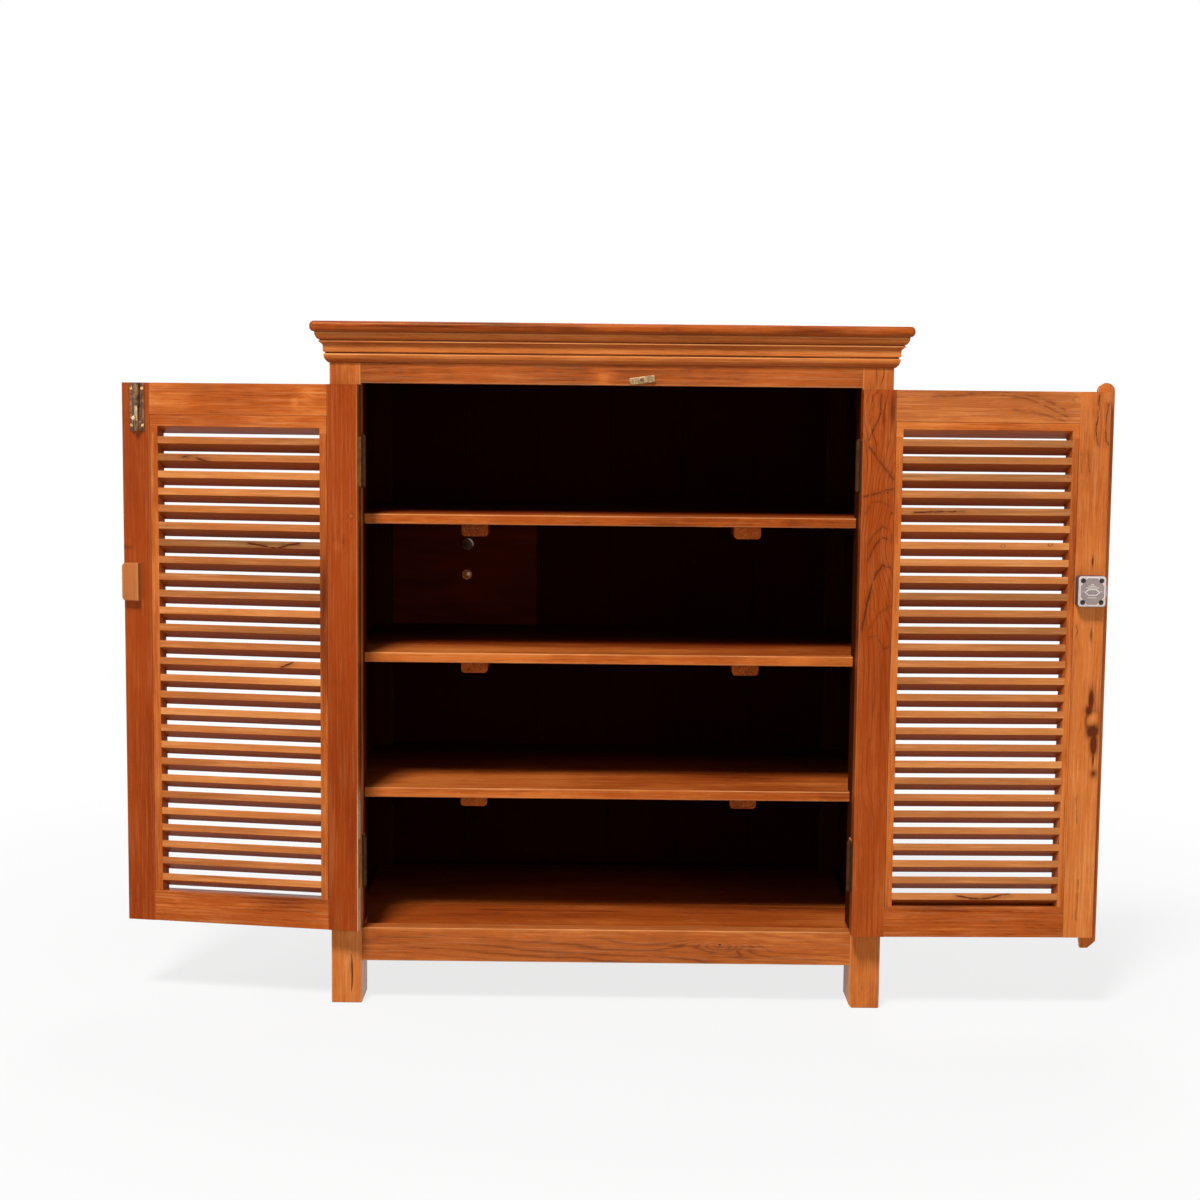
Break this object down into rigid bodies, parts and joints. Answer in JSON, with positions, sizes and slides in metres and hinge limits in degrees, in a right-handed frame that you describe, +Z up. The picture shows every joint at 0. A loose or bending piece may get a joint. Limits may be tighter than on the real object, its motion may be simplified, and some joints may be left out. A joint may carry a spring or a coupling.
{
  "type": "louvred door cabinet",
  "caption": "Low wooden cabinet on square legs with a cornice, shelves inside and a pair of louvred doors on butt hinges, with tower bolt, rim lock and turn button.",
  "frame": {"origin": "on the floor, under the middle of the cabinet with both doors folded back", "axes": "+Z up, the front with its doors faces -Y, +X to the right of someone standing in front"},
  "size_m": [1.311, 0.4441, 0.915],
  "materials": {
    "carcass_upright": "semi-gloss varnished teak, grain upright",
    "carcass_cross": "semi-gloss varnished teak, grain left to right",
    "carcass_deep": "semi-gloss varnished teak, grain front to back",
    "cornice_front": "semi-gloss varnished teak moulding, grain left to right",
    "cornice_side": "semi-gloss varnished teak moulding, grain front to back",
    "top_board": "semi-gloss varnished teak, grain left to right",
    "side_panel": "semi-gloss varnished teak boards, grain upright",
    "interior_back": "dark red-brown stained boards, grain upright",
    "patch_board": "dark stained board, grain left to right",
    "floor": "satin stained boards, grain left to right",
    "shelf": "satin varnished shelf, grain left to right",
    "left_upright": "semi-gloss varnished teak stile of the left door",
    "left_cross": "semi-gloss varnished teak rail of the left door",
    "left_slat": "semi-gloss varnished teak slats of the left door",
    "right_upright": "semi-gloss varnished teak stile of the right door",
    "right_cross": "semi-gloss varnished teak rail of the right door",
    "right_slat": "semi-gloss varnished teak slats of the right door",
    "hinge_brass": "worn dull brass",
    "fitting_brass": "antique brass",
    "steel": "dull zinc-plated steel",
    "lock_metal": "satin plated die-cast metal"
  },
  "bodies": {
    "carcass": {"back_boards": "interior_back", "back_patch_board": "patch_board", "cornice_front": "cornice_front", "cornice_left": "cornice_side", "cornice_right": "cornice_side", "floor_boards": "floor", "front_bottom_rail": "carcass_cross", "front_post_left": "carcass_upright", "front_post_right": "carcass_upright", "front_top_rail": "carcass_cross", "hinge_pins": "hinge_brass", "hinge_post_leaves": "hinge_brass", "hinge_post_screws": "hinge_brass", "patch_bolt_brass": "fitting_brass", "patch_bolt_steel": "steel", "rear_bottom_rail": "carcass_cross", "rear_post_left": "carcass_upright", "rear_post_right": "carcass_upright", "rear_top_rail": "carcass_cross", "shelf_1": "shelf", "shelf_2": "shelf", "shelf_3": "shelf", "shelf_battens": "carcass_deep", "side_bottom_rails": "carcass_deep", "side_cleats": "carcass_deep", "side_panel_left": "side_panel", "side_panel_right": "side_panel", "side_top_rails": "carcass_deep", "top_board": "top_board", "tower_bolt_keeper": "fitting_brass", "turn_button_screw": "fitting_brass"},
    "left_door": {"left_door_bottom_rail": "left_cross", "left_door_hinge_leaves": "hinge_brass", "left_door_hinge_screws": "hinge_brass", "left_door_hinge_stile": "left_upright", "left_door_louvre_strips": "left_upright", "left_door_meeting_stile": "left_upright", "left_door_slats": "left_slat", "left_door_top_rail": "left_cross", "lock_keeper_block": "left_upright", "tower_bolt_plate": "fitting_brass", "tower_bolt_screws": "fitting_brass"},
    "right_door": {"right_door_bottom_rail": "right_cross", "right_door_hinge_leaves": "hinge_brass", "right_door_hinge_screws": "hinge_brass", "right_door_hinge_stile": "right_upright", "right_door_louvre_strips": "right_upright", "right_door_meeting_stile": "right_upright", "right_door_slats": "right_slat", "right_door_top_rail": "right_cross", "lock_case": "lock_metal", "lock_screws": "lock_metal", "astragal": "right_upright"},
    "tower_bolt_rod": {"tower_bolt_rod": "fitting_brass"},
    "lock_bolt": {"lock_bolt": "lock_metal"},
    "lock_cylinder": {"lock_cylinder": "fitting_brass"},
    "turn_button": {"turn_button": "fitting_brass"}
  },
  "joints": [
    {"name": "left_door_swing", "type": "hinge", "parent": "carcass", "child": "left_door", "pos_m": [-0.3255, -0.1895, 0.465], "axis": [0, 0, 1], "range_deg": [0, 189.5]},
    {"name": "right_door_swing", "type": "hinge", "parent": "carcass", "child": "right_door", "pos_m": [0.3255, -0.1895, 0.465], "axis": [0, 0, 1], "range_deg": [-181.5, 8.5]},
    {"name": "tower_bolt_slide", "type": "slide", "parent": "left_door", "child": "tower_bolt_rod", "axis": [0, 0, 1], "range_m": [0, 0.012]},
    {"name": "lock_bolt_slide", "type": "slide", "parent": "right_door", "child": "lock_bolt", "axis": [0.9997, 0.0262, 0], "range_m": [0, 0.009]},
    {"name": "lock_cylinder_turn", "type": "hinge", "parent": "right_door", "child": "lock_cylinder", "pos_m": [0.62578, -0.19614, 0.5732], "axis": [0.0262, -0.9997, 0], "range_deg": [0, 180]},
    {"name": "turn_button_turn", "type": "hinge", "parent": "carcass", "child": "turn_button", "pos_m": [0.04, -0.187, 0.8425], "axis": [0, 1, 0], "continuous": true}
  ],
  "couplings": [
    {"joint": "lock_cylinder_turn", "follows": "lock_bolt_slide", "rad_per_m": 349}
  ]
}
